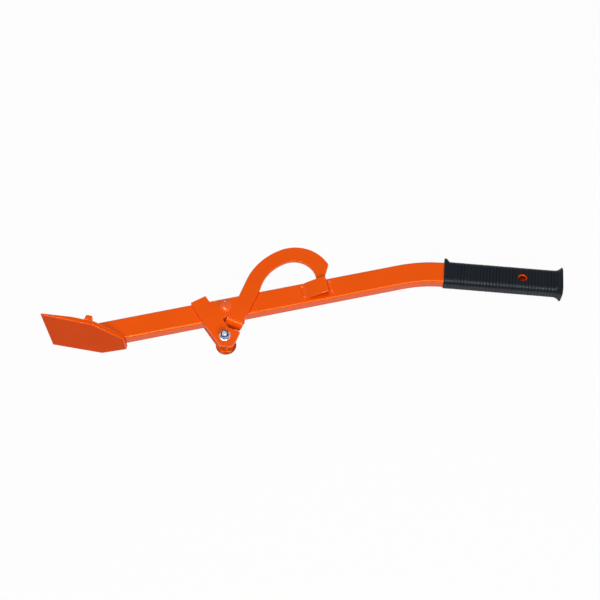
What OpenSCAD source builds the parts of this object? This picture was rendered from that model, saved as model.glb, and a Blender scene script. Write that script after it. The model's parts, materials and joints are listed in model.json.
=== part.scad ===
// Felling lever with a swinging cant hook, lying on its side.
// X runs along the straight tube from the blade to the grip, Y points to the hook side
// and Z is square to the wide faces of the tube. Sizes are in millimetres and degrees.

/* [Tube] */
// Width of the rectangular tube, along Y
tube_w = 35; // [30:0.5:40]
// Thickness of the rectangular tube, along Z
tube_t = 20; // [16:0.5:24]
// Wall of the tube
tube_wall = 2.5; // [2:0.25:4]
// Outer corner radius of the tube
tube_r = 3; // [2:0.25:4]
// From the hook pivot to the corner where the two straight runs would meet
bend_x = 312.8; // [290:0.2:360]
// Angle of the bend towards the grip
bend_angle = 17.8; // [8:0.2:24]
// Radius of the bend, measured on the tube's middle line
bend_r = 214; // [150:2:240]

/* [Blade] */
// From the hook pivot to the heel, where the blade meets the tube's lower face
heel_x = 156.8; // [140:0.2:190]
// Angle between the blade and the tube
blade_angle = 24; // [18:0.5:32]
// Length of the blade ahead of its heel
blade_len = 125; // [110:1:150]
// Width of the blade at its front edge
blade_front_w = 103; // [92:1:120]
// Width of the blade at its shoulder
blade_mid_w = 97; // [80:1:108]
// Width of the blade at its rear end
blade_rear_w = 34; // [26:1:50]
// From the heel to the shoulder
blade_shoulder = 44; // [30:1:56]
// From the heel to the rear end of the plate
blade_rear = 1; // [1:0.5:8]
// Thickness of the blade plate
blade_t = 7; // [5:0.5:9]
// Thickness left at the front edge
blade_edge_t = 2.5; // [1.5:0.25:4]
// Length of the ground wedge behind the front edge
blade_wedge = 46; // [30:1:60]
// From the front edge back to the teeth
tooth_back = 65; // [60:1:68]
// Length of a tooth along the blade
tooth_len = 11; // [8:0.5:13]
// Height of a tooth above the blade
tooth_h = 8; // [5:0.5:12]
// Width of a tooth across the blade
tooth_w = 9; // [6:0.5:14]
// Radius of the weld beads
weld_r = 4; // [2:0.25:6]

/* [Hook] */
// Thickness of the hook plate and of the rear cheek
plate_t = 5; // [4:0.25:6]
// Free gap between the tube and the plates on either side
side_gap = 0.6; // [0.4:0.1:1]
// From the pivot to the middle of the throat curve, along X
throat_x = 112; // [108:0.5:120]
// From the pivot to the middle of the throat curve, along Y
throat_y = 21.4; // [19:0.2:24]
// Radius of the hook's inner curve near the point
throat_r = 35; // [33:0.5:37]
// Radius of the hook's inner curve along the shank
inner_r = 64; // [60:0.5:68]
// Radius of the hook's outer curve near the point
crown_r = 58.4; // [56:0.2:61]
// Radius of the hook's outer curve along the shank
outer_r = 97.5; // [94:0.5:101]
// Swing of the hook from stowed to fully open
open_angle = 36; // [32:1:39]
// Gap left between the stop flange and the tube when the hook is fully open
stop_gap = 0.3; // [0.1:0.1:0.6]
// Depth of the bent stop flange behind the front of the hook plate
flange_depth = 17.5; // [13:0.5:22]
// Outer radius of the flange bend
flange_r = 7; // [5.5:0.25:8]
// Width of the relief slot between the stop flange and the lug
slot_w = 7.4; // [6:0.2:9]

/* [Pivot and lug] */
// Diameter of the rivet shank
rivet_d = 12; // [10:0.5:13]
// Diameter of the rivet heads
rivet_head_d = 19.4; // [17:0.2:22]
// Height of the rivet heads
rivet_head_h = 4.5; // [3:0.25:6]
// Height of the upright rim of the rivet heads
rivet_rim_h = 1.5; // [0.5:0.25:2.5]
// Outer diameter of the bush welded through the tube
bush_d = 18; // [16.5:0.5:20]
// Height of the bush above each wide face of the tube
bush_proud = 0.3; // [0:0.05:0.35]
// Running clearance of the rivet in its bush, on the radius
rivet_fit = 0.08; // [0.02:0.01:0.1]
// From the pivot to the lug bolt, along X
lug_x = -10; // [-13:0.5:-7]
// From the pivot to the lug bolt, along Y
lug_y = -49.7; // [-53:0.1:-48]
// Diameter of the lug bolt
bolt_d = 8; // [7:0.5:8.5]
// Clearance of the bolt in its holes, on the radius
bolt_gap = 0.25; // [0.1:0.05:0.5]
// Width of the bolt head and of the nut across their flats
hex_af = 13; // [12.5:0.5:15]
// Height of the bolt head
bolt_head_h = 5.3; // [4:0.1:6.5]
// Height of the nut's hexagon
nut_h = 5.5; // [4:0.25:7]
// Diameter of the round collar on the nut
collar_d = 12; // [11.5:0.25:12.25]
// Height of the round collar on the nut
collar_h = 2.5; // [2:0.25:3.5]
// Wall of the round collar on the nut
collar_wall = 1; // [0.5:0.1:1.2]
// Length of bolt that stands out of the nut
bolt_out = 1.2; // [0.5:0.1:3.5]
// Diameter of the washer under the nut
washer_d = 17; // [16:0.5:20]
// Diameter of the wide washer under the bolt head
wide_washer_d = 31.6; // [22:0.4:32]
// Thickness of the washers
washer_t = 1.6; // [1:0.2:2.4]
// Outer diameter of the spacer sleeve between the lugs
spacer_d = 14; // [12:0.5:18]

/* [Point guard] */
// Width of the guard strip, across the tube
guard_w = 26.5; // [18:0.5:27]
// Shift of the guard towards the hook side
guard_shift = 1.7; // [0:0.1:1.8]
// Thickness of the guard strip
guard_t = 2.5; // [1.5:0.25:3]
// Free height between the hook plate and the guard's ridge
guard_room = 5.3; // [4.5:0.1:8]
// Free length between the hook's point and the guard's end wall
guard_gap = 1.8; // [1.5:0.1:5]
// Radius of the guard's long curved back
guard_r = 97; // [85:1:120]
// Length of the guard's foot nearer the pivot
guard_foot = 8; // [6:0.5:12]
// Length of the guard's foot nearer the grip
guard_toe = 6.5; // [6:0.5:12]

/* [Grip] */
// Straight tube between the end of the bend and the grip
grip_gap = 0.5; // [0.5:0.5:20]
// Length of the grip
grip_len = 184; // [150:1:220]
// Width of the grip in the bend plane
grip_w = 40; // [40:0.5:46]
// Thickness of the grip
grip_t = 28; // [27:0.5:34]
// Corner radius of the grip
grip_r = 9; // [6:0.5:11]
// Rise of the flared end of the grip
flare_h = 4.7; // [3:0.1:7]
// Length of the flared end of the grip
flare_len = 12; // [9:0.5:16]
// Rise of the thumb stop at the start of the grip
stop_h = 6; // [3:0.1:8]
// Length of the thumb stop at the start of the grip
stop_len = 8; // [6:0.5:14]
// Thickness of the closed end of the grip
grip_cap = 6; // [4:0.5:10]
// From the end of the grip back to the hanging hole
hang_back = 62; // [45:1:100]
// Diameter of the hanging hole in the tube
hang_d = 11; // [6:0.5:11.5]
// Diameter of the hanging hole in the grip
hang_grip_d = 14; // [12:0.5:18]

/* [Hidden] */
$fn = 64;

// Colours of the finishes
paint = [0.87, 0.33, 0.02];
rubber = [0.09, 0.10, 0.12];
zinc = [0.70, 0.73, 0.78];
nylon = [0.30, 0.42, 0.62];

// Overlap that joins solids inside one piece
lap = 2;
// Angle steps of the long curves and of the small corner roundings
arc_step = 3;
corner_step = 15;

// Corner roundings of cut plate, from nearly sharp to wide
nick = 0.8;
corner = 1.5;
wide_corner = 5;

// Heights of the layers beside the tube's wide faces
face_z = tube_t / 2;
plate_z = face_z + side_gap;
plate_top_z = plate_z + plate_t;

// Tube: from its mitre on the blade, round the bend, to the closed end of the grip
tangent = bend_r * tan(bend_angle / 2);
grip_start = tangent + grip_gap;
grip_end = grip_start + grip_len;
hang_s = grip_end - hang_back;
tube_start = -heel_x - tube_w / tan(blade_angle);
tube_end = grip_end - grip_cap;
tube_inner_r = max(tube_r - tube_wall, tube_wall / 5);

// Hook curves: each touches the next on the line at this angle through both middles
meet = 100;
crown_shift = [2.5, 1.2];
crown_x = throat_x + crown_shift.x;
crown_y = throat_y + crown_shift.y;
outer_x = crown_x - (outer_r - crown_r) * cos(meet);
outer_y = crown_y - (outer_r - crown_r) * sin(meet);
inner_x = throat_x - (inner_r - throat_r) * cos(meet);
inner_y = throat_y - (inner_r - throat_r) * sin(meet);
outer_from = 146;
inner_from = 156;
nose_at = 16;
nose_cut = 9;
nose_r = 4;
throat_to = -8;

// Hook point: a blunt end on the tube's middle, under the guard, drawn in a little at the throat,
// and the rounded nose where the crown meets the straight back edge
point_y = -3;
point_w = 3;
point_in = 0.2;
point_x = throat_x + throat_r + point_w - point_in;
nose = [crown_x, crown_y] + crown_r / cos(nose_cut) * [cos(nose_at), sin(nose_at)];

// Base of the hook: the edge beside the rivet, the ear and the leg down to the lug
base_y = 12.5;
base_in = 17.5;
ear_left = [-51, 17.7];
ear_right = [-26.3, 24.7];
ear_foot = [-21.7, base_y];
leg_waist = [-38.6, -19];
lug = [lug_x, lug_y];
leg_foot = lug + [-10.4, -13.9];
lug_low = lug + [6.2, -19.3];
lug_side = lug + [13.4, -13];

// Rear cheek: the same leg, drawn in at its edge, and a smaller lug
cheek_inset = 2;
cheek_neck = [14, 0];
cheek_foot = lug + [-9.4, -11.9];
cheek_low = lug + [5.2, -15.1];
cheek_side = lug + [12.6, -3.8];

// Stop flange: lies along the tube's narrow face when the hook is fully open
flange_in = tube_w / 2 + stop_gap;
flange_out = flange_in + plate_t;
flange_line = flange_out - flange_r;
plate_line = flange_line - lap / 2;
flange_from = 10.5;
flange_to = 37.6;
flange_taper = 4.3;
shank_foot = [36.2, -5];

// Relief slot in the same frame: its blind end beside the flange, then its lower side
slot_in = [flange_from - 3.4, -plate_line - 1.4];
slot_end = [flange_from - 4.6, -flange_out + 1.6];
slot_low = [flange_from + 9, -flange_out - slot_w];
slot_mouth = [flange_to + 1.6, -flange_out - slot_w];

// Guard: its end wall stands clear of the hook's point, its back runs down to the foot
guard_high_y = guard_shift + guard_w / 2;
guard_h = side_gap + plate_t + guard_room + guard_t;
ridge_at = 97;
ridge_lap = 0.5;
wall_lean = 3.7;
guard_wall_x = edge_x(guard_high_y) + guard_gap + guard_t;
ridge_x = guard_wall_x - wall_lean;
back_mid = [ridge_x - guard_r * cos(ridge_at), guard_h - guard_r * sin(ridge_at)];
back_foot_z = 1.6 * guard_t;
back_from = reach_angle(guard_r, back_foot_z);
back_x = back_mid.x + guard_r * cos(back_from);

// Grip: half its flared width, the bevel of its rims, and the curves of its flared end and its
// thumb stop as shares of their length and rise
flare_half = grip_w / 2 + flare_h;
rim_bevel = 1.5;
flare_curve = [[1, 0], [0.6, 0.15], [0.3, 0.5], [0.15, 1]];
stop_curve = [[0.4, 1], [0.7, 0.3]];

// Bounding box: the origin is the middle of its underside
tip_x = -heel_x - blade_len * cos(blade_angle) - blade_t * sin(blade_angle);
end_x = bend_x + grip_end * cos(bend_angle) + (flare_half - rim_bevel) * sin(bend_angle);
end_y = -(grip_end - rim_bevel) * sin(bend_angle) - flare_half * cos(bend_angle);
box_mid_x = (tip_x + end_x) / 2;
box_mid_y = (crown_y + crown_r + end_y) / 2;
rest_z = blade_front_w / 2;

// Point at an angle on a circle
function polar(r, a) = r * [cos(a), sin(a)];

// Points along a circular arc
function arc(c, r, from, to, step = arc_step) =
    let (n = ceil(abs(to - from) / step))
    [for (i = [0 : n]) c + polar(r, from + (to - from) * i / n)];

// The same points, each marked as sharp
function sharp_arc(c, r, from, to) = [for (p = arc(c, r, from, to)) sharp(p)];

// Outline points carry a rounding radius as their third value
function sharp(p) = [p.x, p.y, 0];
function soft(p, r) = [p.x, p.y, r];

// Unit vector from one point to another
function unit(a, b) = (b - a) / norm(b - a);

// Corner p between the points a and b, rounded with radius r
function round_corner(a, p, b, r) =
    let (u = unit(p, a), v = unit(p, b), half = acos(u * v) / 2)
    let (c = p + unit([0, 0], u + v) * r / sin(half), s = p + u * r / tan(half) - c)
    let (a0 = atan2(s.y, s.x), turn = 180 - 2 * half, side = sign(u.y * v.x - u.x * v.y))
    arc(c, r, a0, a0 + side * turn, corner_step);

// Outline with its corners rounded
function rounded(pts) =
    let (n = len(pts))
    [for (i = [0 : n - 1])
        let (p = pts[i], q = pts[(i + n - 1) % n], w = pts[(i + 1) % n])
        each p.z > 0 ? round_corner([q.x, q.y], [p.x, p.y], [w.x, w.y], p.z) : [[p.x, p.y]]];

// Point of the hook given in the frame of the stop flange
function from_stop(x, y) =
    [x * cos(open_angle) + y * sin(open_angle), y * cos(open_angle) - x * sin(open_angle)];

// X of the hook's straight back edge, from its point up to its nose
function edge_x(y) = point_x + (nose.x - point_x) * (y - point_y) / (nose.y - point_y);

// Angle at which a circle about the guard's middle comes down to a height
function reach_angle(r, z) = 180 - asin((z - back_mid.y) / r);

// Half width of the blade between its shoulder and its front edge
function blade_half(w) =
    let (slope = (blade_front_w - blade_mid_w) / (blade_len - blade_shoulder))
    (blade_mid_w + slope * (w - blade_shoulder)) / 2;

// Rectangle with round corners about the origin
module rounded_rect(w, h, r) {
    square([w - 2 * r, h], center = true);
    square([w, h - 2 * r], center = true);
    for (x = [-1, 1], y = [-1, 1])
        translate([x * (w / 2 - r), y * (h / 2 - r)])
            circle(r);
}

// Moves the lever's own frame to the middle of the underside of its bounding box
module placed() {
    translate([-box_mid_x, -box_mid_y, rest_z])
        children();
}

// Frame along the grip: X runs down the grip from the bend corner
module grip_frame() {
    translate([bend_x, 0, 0])
        rotate([0, 0, -bend_angle])
            children();
}

// Frame of the blade: X runs forward from the heel, Y points out of the blade's underside
module blade_frame() {
    translate([-heel_x, -tube_w / 2, 0])
        rotate([0, 0, 180 - blade_angle])
            children();
}

// Prism along X whose section is drawn in Y and Z
module along_x(from, to) {
    translate([from, 0, 0])
        rotate([90, 0, 90])
            linear_extrude(to - from)
                children();
}

// Prism along Y, centred, whose section is drawn in X and Z
module along_y(width) {
    translate([0, width / 2, 0])
        rotate([90, 0, 0])
            linear_extrude(width)
                children();
}

// Straight hole along Z, through everything near its place
module through_hole(d) {
    cylinder(d = d, h = 4 * tube_t, center = true);
}

// Section of the tube, drawn in by an inset
module tube_section(inset, r) {
    rounded_rect(tube_w - 2 * inset, tube_t - 2 * inset, r);
}

// Course of the tube from the blade to the grip's end, for its outside or its inside
module tube_run(inset, r) {
    translate([bend_x - tangent, -bend_r, 0]) {
        translate([0, bend_r, 0])
            along_x(tube_start + tangent - bend_x, 0)
                tube_section(inset, r);
        intersection() {
            rotate([0, 0, 90 - bend_angle])
                rotate_extrude(angle = 90, $fn = 360)
                    translate([bend_r, 0])
                        tube_section(inset, r);
            translate([0, 0, -tube_t])
                cube([2 * bend_r, 2 * bend_r, 2 * tube_t]);
        }
        rotate([0, 0, 90 - bend_angle])
            translate([bend_r, 0, 0])
                rotate([0, 0, -90])
                    along_x(0, tube_end - tangent)
                        tube_section(inset, r);
    }
}

module lever_tube() {
    color(paint) placed() difference() {
        tube_run(0, tube_r);
        tube_run(tube_wall, tube_inner_r);
        blade_frame()
            translate([-tube_w, 0, -tube_t])
                cube([heel_x * 2, heel_x, 2 * tube_t]);
        through_hole(bush_d);
        grip_frame()
            translate([hang_s, 0, 0])
                through_hole(hang_d);
    }
}

module pivot_bush() {
    color(zinc) placed() difference() {
        cylinder(d = bush_d, h = tube_t + 2 * bush_proud, center = true);
        through_hole(rivet_d + 2 * rivet_fit);
    }
}

// Blade seen square to its face, with X along the blade and Y across it
module blade_outline() {
    polygon(rounded([
        [blade_rear, -blade_rear_w / 2, corner], [blade_shoulder, -blade_mid_w / 2, wide_corner],
        [blade_len, -blade_front_w / 2, 0], [blade_len, blade_front_w / 2, 0],
        [blade_shoulder, blade_mid_w / 2, wide_corner], [blade_rear, blade_rear_w / 2, corner]]));
}

// Blade seen from its side: a wedge that thins towards the front edge
module blade_profile() {
    polygon([[0, 0], [blade_len - blade_wedge, 0], [blade_len, blade_t - blade_edge_t],
        [blade_len, blade_t], [0, blade_t]]);
}

module blade() {
    color(paint) placed() blade_frame() intersection() {
        rotate([-90, 0, 0])
            linear_extrude(blade_t)
                blade_outline();
        translate([0, 0, -blade_front_w / 2])
            linear_extrude(blade_front_w)
                blade_profile();
    }
}

module blade_teeth() {
    heel = blade_len - tooth_back - tooth_len;
    color(paint) placed() blade_frame()
        for (side = [-1, 1])
            translate([heel, 0, side * (blade_half(heel) - tooth_w / 2) - tooth_w / 2])
                linear_extrude(tooth_w)
                    polygon(rounded([[0, 0, 0], [0, -tooth_h, corner],
                        [tooth_len - corner, -tooth_h, corner], [tooth_len, 0, 0]]));
}

// Sector of a weld bead about a corner, between two directions
module bead_sector(from, to) {
    polygon(concat([[0, 0]], arc([0, 0], weld_r, from, to, corner_step)));
}

// Beads round the foot of the tube, where its mitre stands on the blade
module blade_weld() {
    high = tube_w / sin(blade_angle);
    color(paint) placed() blade_frame() {
        for (side = [0, 1])
            mirror([0, 0, side])
                translate([0, 0, face_z])
                    along_x(blade_rear + tube_r, high - tube_r)
                        bead_sector(90, 180);
        translate([high, 0, tube_r - face_z])
            linear_extrude(tube_t - 2 * tube_r)
                bead_sector(0, blade_angle - 180);
        translate([0, 0, tube_r - face_z])
            linear_extrude(tube_t - 2 * tube_r)
                polygon(concat([[blade_rear, weld_r], [blade_rear, 0], [0, 0]],
                    arc([0, 0], weld_r, 180 + blade_angle, 90, corner_step)));
    }
}

// Guard strip seen along Y: X along the tube, Y away from its face
module guard_profile() {
    inner_wall = guard_wall_x - guard_t;
    under_r = guard_r - guard_t;
    under_from = reach_angle(under_r, guard_t);
    under_x = back_mid.x + under_r * cos(under_from);
    under_to = ridge_at + ridge_lap;
    polygon(concat(
        [[back_x - guard_foot, 0], [back_x - guard_foot, guard_t], [back_x - guard_t, guard_t]],
        arc(back_mid, guard_r, back_from, ridge_at),
        [[guard_wall_x, guard_t], [guard_wall_x + guard_toe, guard_t], [guard_wall_x + guard_toe, 0],
            [inner_wall, 0]],
        arc(back_mid, under_r, under_to, under_from),
        [[under_x, 0]]));
}

module point_guard() {
    color(paint) placed()
        translate([0, guard_shift, face_z])
            along_y(guard_w)
                guard_profile();
}

// Low round weld spots on the flats of the guard's two feet
module guard_welds() {
    spot_h = 1.2;
    spot_gap = 0.15;
    spot_r = min(guard_foot - guard_t, guard_toe) / 2 - spot_gap;
    ball_r = (spot_r * spot_r + spot_h * spot_h) / (2 * spot_h);
    color(paint) placed()
        for (x = [back_x - (guard_foot + guard_t) / 2, guard_wall_x + guard_toe / 2], y = [-1, 1])
            translate([x, guard_shift + y * guard_w / 3, face_z + guard_t])
                intersection() {
                    translate([0, 0, spot_h - ball_r])
                        sphere(ball_r);
                    cylinder(r = ball_r, h = ball_r);
                }
}

// Half of the grip's outline: a flared rim with a bevelled edge
function flare_side(half) = concat(
    [for (p = flare_curve) [grip_end - flare_len * p.x, half + flare_h * p.y]],
    [[grip_end - rim_bevel, half + flare_h], [grip_end, half + flare_h - rim_bevel]]);

// Outline mirrored about X
function both_sides(half_line) =
    concat(half_line, [for (i = [len(half_line) - 1 : -1 : 0]) [half_line[i].x, -half_line[i].y]]);

// Outline of the thumb stop, from the grip's axis out
function thumb_stop() = concat(
    [[grip_start, 0], [grip_start, grip_w / 2 + stop_h - rim_bevel],
        [grip_start + rim_bevel, grip_w / 2 + stop_h]],
    [for (p = stop_curve) [grip_start + stop_len * p.x, grip_w / 2 + stop_h * p.y]],
    [[grip_start + stop_len, grip_w / 2 - corner / 2], [grip_start + stop_len, 0]]);

module grip() {
    across = grip_w + 2 * flare_h;
    deep = grip_t + 2 * flare_h;
    color(rubber) placed() difference() {
        grip_frame() {
            along_x(grip_start, grip_end - rim_bevel)
                rounded_rect(grip_w, grip_t, grip_r);
            intersection() {
                along_x(grip_end - flare_len, grip_end)
                    rounded_rect(across, deep, grip_r + flare_h / 2);
                translate([0, 0, -deep / 2])
                    linear_extrude(deep)
                        polygon(both_sides(flare_side(grip_w / 2)));
                along_y(across)
                    polygon(both_sides(flare_side(grip_t / 2)));
            }
            intersection() {
                translate([0, 0, -grip_t / 2])
                    linear_extrude(grip_t)
                        polygon(thumb_stop());
                along_x(grip_start, grip_start + stop_len)
                    translate([stop_h / 2, 0])
                        rounded_rect(grip_w + stop_h, grip_t, grip_r);
            }
        }
        tube_run(0, tube_r);
        grip_frame()
            translate([hang_s, 0, 0])
                through_hole(hang_grip_d);
    }
}

// Outline of the hook plate in one piece: ear, hook, shank, slot, lug and leg
function hook_outline() = rounded(concat(
    [soft(ear_left, corner), soft(ear_right, nick), soft(ear_foot, nick)],
    [[outer_x + outer_r * cos(outer_from) - base_in, base_y, nick]],
    sharp_arc([outer_x, outer_y], outer_r, outer_from, meet + arc_step),
    sharp_arc([crown_x, crown_y], crown_r, meet, nose_at + nose_cut),
    [soft(nose, nose_r), [point_x, point_y, nick], [point_x - point_w, point_y, nick]],
    sharp_arc([throat_x, throat_y], throat_r, throat_to, meet),
    sharp_arc([inner_x, inner_y], inner_r, meet + arc_step, inner_from),
    [soft(from_stop(shank_foot.x, shank_foot.y), wide_corner),
        sharp(from_stop(flange_to + 1, -plate_line)), sharp(from_stop(flange_from - nick, -plate_line)),
        soft(from_stop(slot_in.x, slot_in.y), corner), soft(from_stop(slot_end.x, slot_end.y), corner),
        soft(from_stop(slot_low.x, slot_low.y), wide_corner),
        soft(from_stop(slot_mouth.x, slot_mouth.y), corner),
        soft(lug_side, wide_corner), soft(lug_low, corner), soft(leg_foot, corner), sharp(leg_waist)]));

// Section of the stop flange: the plate bent back at a right angle
module flange_section() {
    inner_bend = max(flange_r - plate_t, nick);
    mid = [-flange_line, plate_top_z - flange_r];
    low = plate_top_z - flange_depth;
    polygon(concat([[mid.x + lap, plate_top_z]],
        arc(mid, flange_r, 90, 180, corner_step),
        [[-flange_out, low], [-flange_in, low]],
        arc([-flange_in + inner_bend, plate_z - inner_bend], inner_bend, 180, 90, corner_step),
        [[mid.x + lap, plate_z]]));
}

// Stop flange, drawn in at its outer end as it goes deeper
module stop_flange() {
    rotate([0, 0, -open_angle])
        intersection() {
            along_x(flange_from, flange_to)
                flange_section();
            along_y(4 * flange_out)
                polygon([[flange_from, plate_top_z], [flange_to, plate_top_z],
                    [flange_to, plate_z], [flange_to - flange_taper, plate_top_z - flange_depth],
                    [flange_from, plate_top_z - flange_depth]]);
        }
}

module hook_plate() {
    color(paint) placed() difference() {
        union() {
            translate([0, 0, plate_z])
                linear_extrude(plate_t)
                    polygon(hook_outline());
            stop_flange();
        }
        through_hole(rivet_d);
        translate(lug)
            through_hole(bolt_d + 2 * bolt_gap);
    }
}

// Outline of the rear cheek: ear, leg and lug
function cheek_outline() = rounded([
    soft(ear_left + [cheek_inset, 0], corner), soft(ear_right, nick), soft(ear_foot, nick),
    [cheek_neck.x - corner, base_y, wide_corner], sharp(cheek_neck), soft(cheek_side, wide_corner),
    soft(cheek_low, wide_corner), soft(cheek_foot, corner), sharp(leg_waist + [cheek_inset, 0])]);

module rear_cheek() {
    color(paint) placed() difference() {
        translate([0, 0, -plate_top_z])
            linear_extrude(plate_t)
                polygon(cheek_outline());
        through_hole(rivet_d);
        translate(lug)
            through_hole(bolt_d + 2 * bolt_gap);
    }
}

// Head on the XY plane: a low dome on an upright rim
module snap_head(d, h, rim) {
    rise = h - rim;
    ball_r = (d * d / 4 + rise * rise) / (2 * rise);
    intersection() {
        translate([0, 0, h - ball_r])
            sphere(ball_r);
        cylinder(d = d, h = h);
    }
}

module pivot_rivet() {
    color(paint) placed() {
        cylinder(d = rivet_d, h = 2 * plate_top_z, center = true);
        for (side = [0, 1])
            mirror([0, 0, side])
                translate([0, 0, plate_top_z])
                    snap_head(rivet_head_d, rivet_head_h, rivet_rim_h);
    }
}

// Hexagon with its corners left and right
module hex_prism(af, h) {
    cylinder(d = af / cos(30), h = h, $fn = 6);
}

module lug_bolt() {
    washer_top = plate_top_z + washer_t;
    color(zinc) placed() translate(lug) {
        translate([0, 0, -washer_top - bolt_head_h])
            hex_prism(hex_af, bolt_head_h);
        translate([0, 0, -washer_top])
            cylinder(d = bolt_d, h = 2 * washer_top + nut_h + collar_h + bolt_out);
    }
}

// Flat washer with its lower face at a height
module flat_washer(d, z) {
    translate([lug.x, lug.y, z])
        difference() {
            cylinder(d = d, h = washer_t);
            through_hole(bolt_d + 2 * bolt_gap);
        }
}

module bolt_washer() {
    color(paint) placed() flat_washer(wide_washer_d, -plate_top_z - washer_t);
}

module nut_washer() {
    color(zinc) placed() flat_washer(washer_d, plate_top_z);
}

module lug_spacer() {
    color(zinc) placed() translate(lug) difference() {
        cylinder(d = spacer_d, h = 2 * plate_z, center = true);
        through_hole(bolt_d + 2 * bolt_gap);
    }
}

module lock_nut() {
    color(zinc) placed()
        translate([lug.x, lug.y, plate_top_z + washer_t])
            difference() {
                union() {
                    hex_prism(hex_af, nut_h);
                    cylinder(d = collar_d, h = nut_h + collar_h);
                }
                through_hole(bolt_d);
                translate([0, 0, nut_h])
                    cylinder(d = collar_d - 2 * collar_wall, h = nut_h);
            }
}

module nut_insert() {
    color(nylon) placed()
        translate([lug.x, lug.y, plate_top_z + washer_t + nut_h])
            difference() {
                cylinder(d = collar_d - 2 * collar_wall, h = collar_h - nick);
                through_hole(bolt_d);
            }
}

lever_tube();
pivot_bush();
blade();
blade_teeth();
blade_weld();
point_guard();
guard_welds();
grip();
hook_plate();
rear_cheek();
pivot_rivet();
lug_bolt();
bolt_washer();
lug_spacer();
nut_washer();
lock_nut();
nut_insert();
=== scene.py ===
"""Felling lever with a swinging cant hook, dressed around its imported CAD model.

The tool lies on its side on a pale studio floor. Shapes drawn here are in millimetres, in frames
that are placed from the hook's pivot, and their meshes end up in metres in the model's own frame.
"""

import json
from math import cos, pi, radians, sin, sqrt, tan

import bmesh
import bpy
from bpy.props import FloatProperty, FloatVectorProperty, PointerProperty
from mathutils import Matrix, Vector


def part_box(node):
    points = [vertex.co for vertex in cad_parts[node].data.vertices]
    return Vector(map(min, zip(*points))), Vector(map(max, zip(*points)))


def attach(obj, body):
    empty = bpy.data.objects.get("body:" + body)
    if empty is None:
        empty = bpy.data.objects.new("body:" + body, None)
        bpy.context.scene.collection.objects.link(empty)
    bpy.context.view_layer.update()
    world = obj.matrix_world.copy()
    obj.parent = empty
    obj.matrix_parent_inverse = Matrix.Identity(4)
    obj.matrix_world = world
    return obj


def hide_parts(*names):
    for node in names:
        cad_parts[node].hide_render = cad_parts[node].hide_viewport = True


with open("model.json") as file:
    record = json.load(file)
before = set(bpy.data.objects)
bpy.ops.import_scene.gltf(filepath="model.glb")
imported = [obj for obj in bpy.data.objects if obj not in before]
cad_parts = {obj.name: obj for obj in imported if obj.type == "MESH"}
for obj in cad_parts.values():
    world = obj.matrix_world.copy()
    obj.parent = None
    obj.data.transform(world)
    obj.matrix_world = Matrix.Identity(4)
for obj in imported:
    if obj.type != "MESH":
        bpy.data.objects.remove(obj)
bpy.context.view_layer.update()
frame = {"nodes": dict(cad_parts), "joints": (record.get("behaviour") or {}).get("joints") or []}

bl_info = {
    "name": "Felling Lever Dressing",
    "version": (1, 0, 0),
    "blender": (4, 5, 0),
    "location": "3D View > Sidebar > Felling Lever",
    "description": "Paints, welds, grips and bolts a felling lever around its CAD model",
    "category": "Object",
}

MM = 0.001
PIVOT = Vector(frame["joints"][0]["pos_m"])

# Tube, blade and plates, from the CAD model
BEND_X = 312.8
HEEL_X = -156.8
BLADE_ANGLE = 24.0
TUBE_HALF_W = 17.5
TUBE_HALF_T = 10.0
TUBE_R = 3.0
LUG_X = -10.0
LUG_Y = -49.7
PLATE_GAP = 0.6
PLATE_TOP = 15.6

# Bolt, nut and washers
HEX_AF = 13.0
HEX_FACE_INSET = 0.3
HEX_TURN_ANGLE = 28.0
BOLT_R = 4.0
BOLT_CORE_R = 3.4
BOLT_PLAY = 0.25
THREAD_RIDGE = 0.53
HEAD_H = 5.3
NUT_H = 5.5
COLLAR_R = 6.0
COLLAR_H = 2.5
BOLT_OUT = 1.2
INSERT_R = 5.0
WASHER_R = 8.5
WIDE_WASHER_R = 15.8
WASHER_T = 1.6
SPACER_R = 7.0
THREAD_FROM = 12.0

# Bend, and the grip along its own axis from the bend corner
BEND_R = 214.0
BEND_ANGLE = 17.8
GRIP_GAP = 0.5
GRIP_LEN = 183.95
GRIP_START = BEND_R * tan(radians(BEND_ANGLE / 2)) + GRIP_GAP
GRIP_END = GRIP_START + GRIP_LEN
GRIP_HALF_W = 20.0
GRIP_HALF_T = 14.0
GRIP_R = 9.0
GRIP_CAP = 5.95
FLARE_H = 4.6
FLARE_LEN = 12.0
RIM_R = 1.5
FLARE_CURVE = 2.2
FLARE_GAIN = 1.45
START_RIM_R = 1.0
STOP_H = 6.0
STOP_LEN = 9.0
STOP_FLAT = 0.3
SLEEVE_GAP = 0.05
SLEEVE_MID = 120.0
RING_STEP = 0.55
RIM_STEP = 0.15
RIB_FADE = 5.0
RIB_LAND = 0.5
HANG_TO_END = 62.0
HANG_R = 7.0
HANG_LIP = 0.4

# Blade seam: the tube's mitre on the blade, along and across it
SEAM_REAR = 4.2
SEAM_FRONT = 84.6
SEAM_CORNER = 4.0
SEAM_Y = -0.5
BEAD_RIPPLE = 0.12

# Stage, in metres
CAMERA_AIM = (-0.010858, -0.00127, 0.0515)
KEY_PLACE = (-0.45, -0.25, 1.95)
KEY_SIZE = (1.3, 0.3)
FRONT_PLACE = (0.2, -1.6, 1.4)
FRONT_SIZE = (1.2, 0.9)
RIM_PLACE = (0.07, 2.0, 0.48)
RIM_SIZE = (0.3, 0.15)
FLOOR_HALF = 8.0
FLOOR_Z = -0.0004
FLOOR_WHITE = 0.97
FLOOR_COLOUR = "B3B3B3"

# Weld spots on the guard's feet, with rings and a pit that the torch leaves
SPOT_R = 2.6
SPOT_H = 1.2
SPOT_RINGS = 5.5
SPOT_PIT = 0.08

# How far a cutting shape reaches past what it cuts, and the turn at which an edge shows, in degrees
CUT_OVER = 1.0
SHARP_ANGLE = 40.0

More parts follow.
